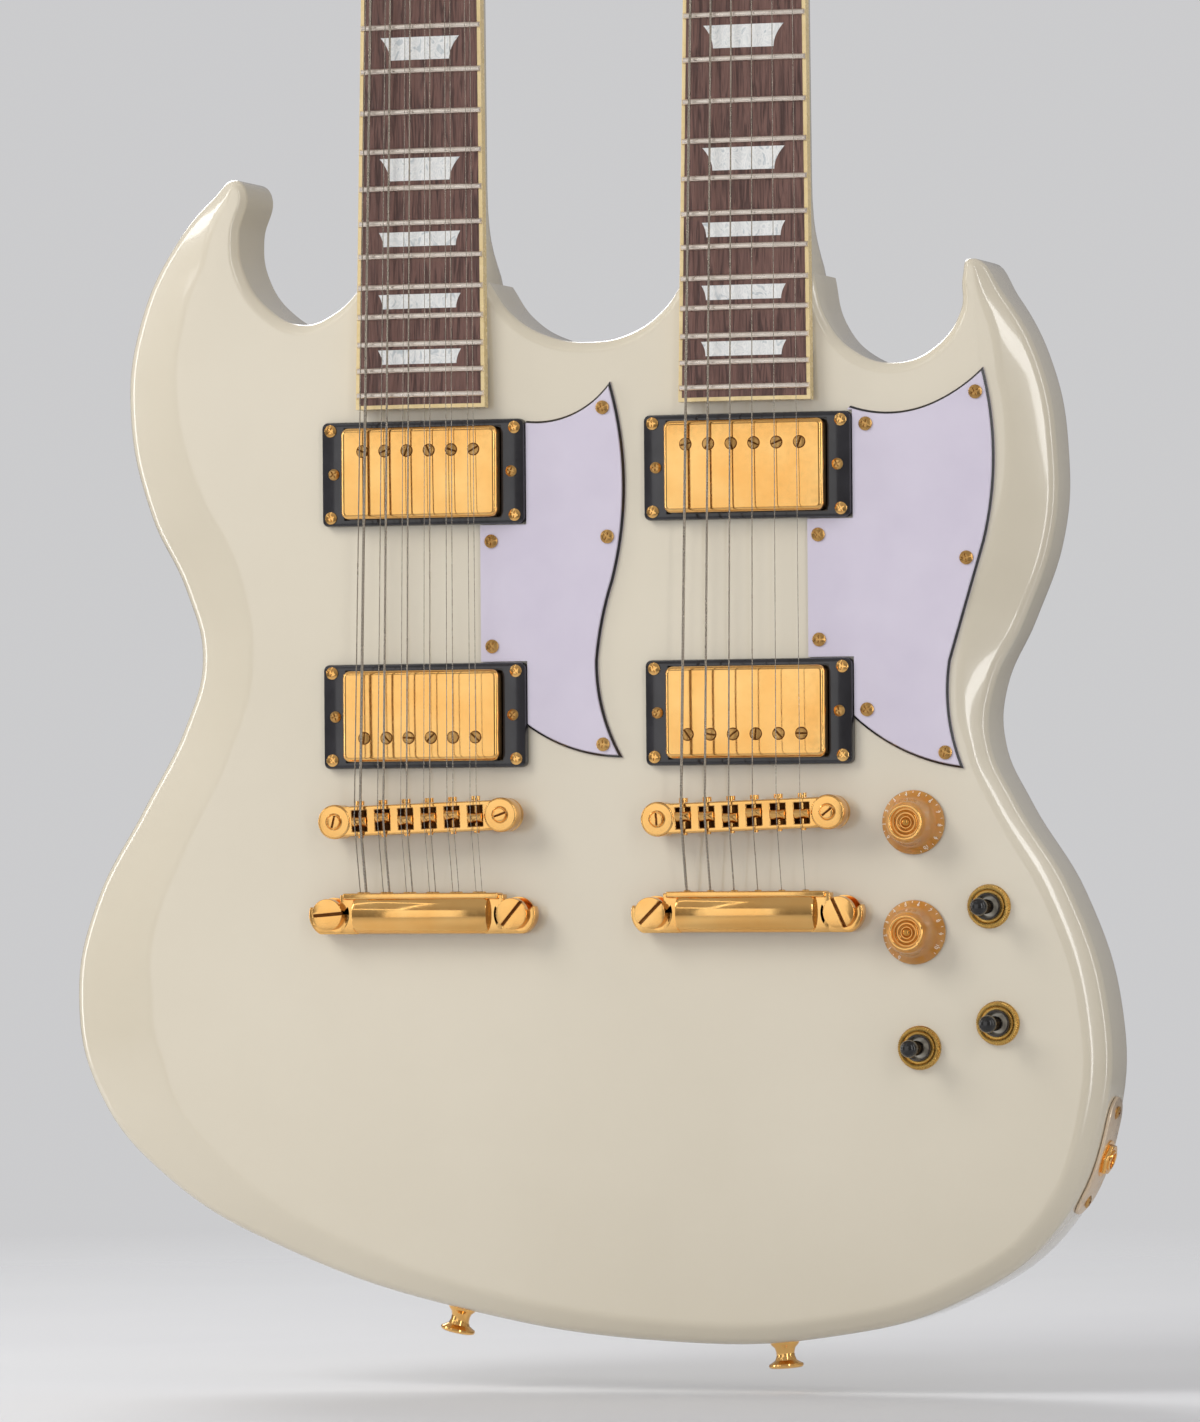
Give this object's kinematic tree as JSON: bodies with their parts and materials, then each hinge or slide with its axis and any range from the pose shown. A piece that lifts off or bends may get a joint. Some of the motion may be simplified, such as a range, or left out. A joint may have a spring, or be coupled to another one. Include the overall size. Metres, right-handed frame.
{
  "type": "double-neck electric guitar",
  "caption": "Solid-body double-neck electric guitar with bevelled horns, ringed pickups, adjustable bridges, and turning tuners, knobs and switches.",
  "frame": {"origin": "on the flat back, midway between the two necks, level with the scale line at the bridges", "axes": "+X across the body towards the six-string neck, +Y out of the flat back, +Z along the necks towards the headstocks"},
  "size_m": [0.4585, 0.1002, 1.0723],
  "materials": {
    "cream_lacquer": "aged cream lacquer, high gloss",
    "neck_lacquer": "aged cream lacquer, gloss",
    "board_wood": "oiled dark wood",
    "binding": "aged cream plastic",
    "pearl": "pearl plastic",
    "fret_metal": "polished nickel silver",
    "nut_bone": "polished bone",
    "black_cover": "gloss black plastic",
    "guard_sheet": "laminated sheet with a dark edge",
    "ring_plastic": "gloss blue-black plastic",
    "gold_plate": "polished gold plating",
    "coil_wrap": "dark coils",
    "string_steel": "wound and plain steel",
    "amber_knob": "translucent amber plastic",
    "control_metal": "machined",
    "case_steel": "plated steel",
    "lever_tip": "dark plastic"
  },
  "bodies": {
    "guitar": {"body": "cream_lacquer", "control_cover": "black_cover", "strap_buttons": "gold_plate", "neck_12": "neck_lacquer", "neck_6": "neck_lacquer", "fretboard_12": "board_wood", "fretboard_6": "board_wood", "fretboard_bindings": "binding", "fret_inlays": "pearl", "frets": "fret_metal", "string_nuts": "nut_bone", "truss_rod_covers": "black_cover", "tuner_housings": "gold_plate", "tuner_posts": "gold_plate", "pickguard_12": "guard_sheet", "pickguard_6": "guard_sheet", "pickup_rings": "ring_plastic", "pickup_covers": "gold_plate", "pickup_coils": "coil_wrap", "pole_screws": "gold_plate", "bridge_12": "gold_plate", "bridge_6": "gold_plate", "bridge_saddles": "gold_plate", "bridge_posts": "gold_plate", "tailpiece_12": "gold_plate", "tailpiece_6": "gold_plate", "tailpiece_studs": "gold_plate", "strings": "string_steel", "potentiometers": "case_steel", "switches": "gold_plate", "jack_plate": "gold_plate", "output_jack": "gold_plate"},
    "button_12_1": {"tuner_button_12_1": "gold_plate"},
    "button_12_2": {"tuner_button_12_2": "gold_plate"},
    "button_12_3": {"tuner_button_12_3": "gold_plate"},
    "button_12_4": {"tuner_button_12_4": "gold_plate"},
    "button_12_5": {"tuner_button_12_5": "gold_plate"},
    "button_12_6": {"tuner_button_12_6": "gold_plate"},
    "button_12_7": {"tuner_button_12_7": "gold_plate"},
    "button_12_8": {"tuner_button_12_8": "gold_plate"},
    "button_12_9": {"tuner_button_12_9": "gold_plate"},
    "button_12_10": {"tuner_button_12_10": "gold_plate"},
    "button_12_11": {"tuner_button_12_11": "gold_plate"},
    "button_12_12": {"tuner_button_12_12": "gold_plate"},
    "button_6_1": {"tuner_button_6_1": "gold_plate"},
    "button_6_2": {"tuner_button_6_2": "gold_plate"},
    "button_6_3": {"tuner_button_6_3": "gold_plate"},
    "button_6_4": {"tuner_button_6_4": "gold_plate"},
    "button_6_5": {"tuner_button_6_5": "gold_plate"},
    "button_6_6": {"tuner_button_6_6": "gold_plate"},
    "volume_control": {"volume_knob": "amber_knob", "volume_shaft": "control_metal"},
    "tone_control": {"tone_knob": "amber_knob", "tone_shaft": "control_metal"},
    "lever_high": {"switch_lever_high": "lever_tip"},
    "lever_low": {"switch_lever_low": "lever_tip"},
    "lever_inner": {"switch_lever_inner": "lever_tip"}
  },
  "joints": [
    {"name": "tuner_12_1", "type": "hinge", "parent": "guitar", "child": "button_12_1", "pos_m": [-0.104, -0.00256, 0.66366], "axis": [-1, 0, 0], "continuous": true},
    {"name": "tuner_12_2", "type": "hinge", "parent": "guitar", "child": "button_12_2", "pos_m": [-0.039, -0.00256, 0.66366], "axis": [1, 0, 0], "continuous": true},
    {"name": "tuner_12_3", "type": "hinge", "parent": "guitar", "child": "button_12_3", "pos_m": [-0.104, 0.00504, 0.69113], "axis": [-1, 0, 0], "continuous": true},
    {"name": "tuner_12_4", "type": "hinge", "parent": "guitar", "child": "button_12_4", "pos_m": [-0.039, 0.00504, 0.69113], "axis": [1, 0, 0], "continuous": true},
    {"name": "tuner_12_5", "type": "hinge", "parent": "guitar", "child": "button_12_5", "pos_m": [-0.104, 0.01263, 0.7186], "axis": [-1, 0, 0], "continuous": true},
    {"name": "tuner_12_6", "type": "hinge", "parent": "guitar", "child": "button_12_6", "pos_m": [-0.039, 0.01263, 0.7186], "axis": [1, 0, 0], "continuous": true},
    {"name": "tuner_12_7", "type": "hinge", "parent": "guitar", "child": "button_12_7", "pos_m": [-0.104, 0.02023, 0.74606], "axis": [-1, 0, 0], "continuous": true},
    {"name": "tuner_12_8", "type": "hinge", "parent": "guitar", "child": "button_12_8", "pos_m": [-0.039, 0.02023, 0.74606], "axis": [1, 0, 0], "continuous": true},
    {"name": "tuner_12_9", "type": "hinge", "parent": "guitar", "child": "button_12_9", "pos_m": [-0.104, 0.02783, 0.77353], "axis": [-1, 0, 0], "continuous": true},
    {"name": "tuner_12_10", "type": "hinge", "parent": "guitar", "child": "button_12_10", "pos_m": [-0.039, 0.02783, 0.77353], "axis": [1, 0, 0], "continuous": true},
    {"name": "tuner_12_11", "type": "hinge", "parent": "guitar", "child": "button_12_11", "pos_m": [-0.104, 0.03542, 0.801], "axis": [-1, 0, 0], "continuous": true},
    {"name": "tuner_12_12", "type": "hinge", "parent": "guitar", "child": "button_12_12", "pos_m": [-0.039, 0.03542, 0.801], "axis": [1, 0, 0], "continuous": true},
    {"name": "tuner_6_1", "type": "hinge", "parent": "guitar", "child": "button_6_1", "pos_m": [0.039, -0.00256, 0.66366], "axis": [-1, 0, 0], "continuous": true},
    {"name": "tuner_6_2", "type": "hinge", "parent": "guitar", "child": "button_6_2", "pos_m": [0.104, -0.00256, 0.66366], "axis": [1, 0, 0], "continuous": true},
    {"name": "tuner_6_3", "type": "hinge", "parent": "guitar", "child": "button_6_3", "pos_m": [0.039, 0.00917, 0.70607], "axis": [-1, 0, 0], "continuous": true},
    {"name": "tuner_6_4", "type": "hinge", "parent": "guitar", "child": "button_6_4", "pos_m": [0.104, 0.00917, 0.70607], "axis": [1, 0, 0], "continuous": true},
    {"name": "tuner_6_5", "type": "hinge", "parent": "guitar", "child": "button_6_5", "pos_m": [0.039, 0.0209, 0.74847], "axis": [-1, 0, 0], "continuous": true},
    {"name": "tuner_6_6", "type": "hinge", "parent": "guitar", "child": "button_6_6", "pos_m": [0.104, 0.0209, 0.74847], "axis": [1, 0, 0], "continuous": true},
    {"name": "volume_turn", "type": "hinge", "parent": "guitar", "child": "volume_control", "pos_m": [0.1418, -0.038, -0.0066], "axis": [0, -1, 0], "range_deg": [0, 270]},
    {"name": "tone_turn", "type": "hinge", "parent": "guitar", "child": "tone_control", "pos_m": [0.1418, -0.038, -0.0523], "axis": [0, -1, 0], "range_deg": [0, 270]},
    {"name": "switch_high_tip", "type": "hinge", "parent": "guitar", "child": "lever_high", "pos_m": [0.1738, -0.033, -0.0417], "axis": [1, 0, 0], "range_deg": [-12, 12]},
    {"name": "switch_low_tip", "type": "hinge", "parent": "guitar", "child": "lever_low", "pos_m": [0.1772, -0.033, -0.0901], "axis": [1, 0, 0], "range_deg": [-12, 12]},
    {"name": "switch_inner_tip", "type": "hinge", "parent": "guitar", "child": "lever_inner", "pos_m": [0.1435, -0.033, -0.1003], "axis": [1, 0, 0], "range_deg": [-12, 12]}
  ]
}
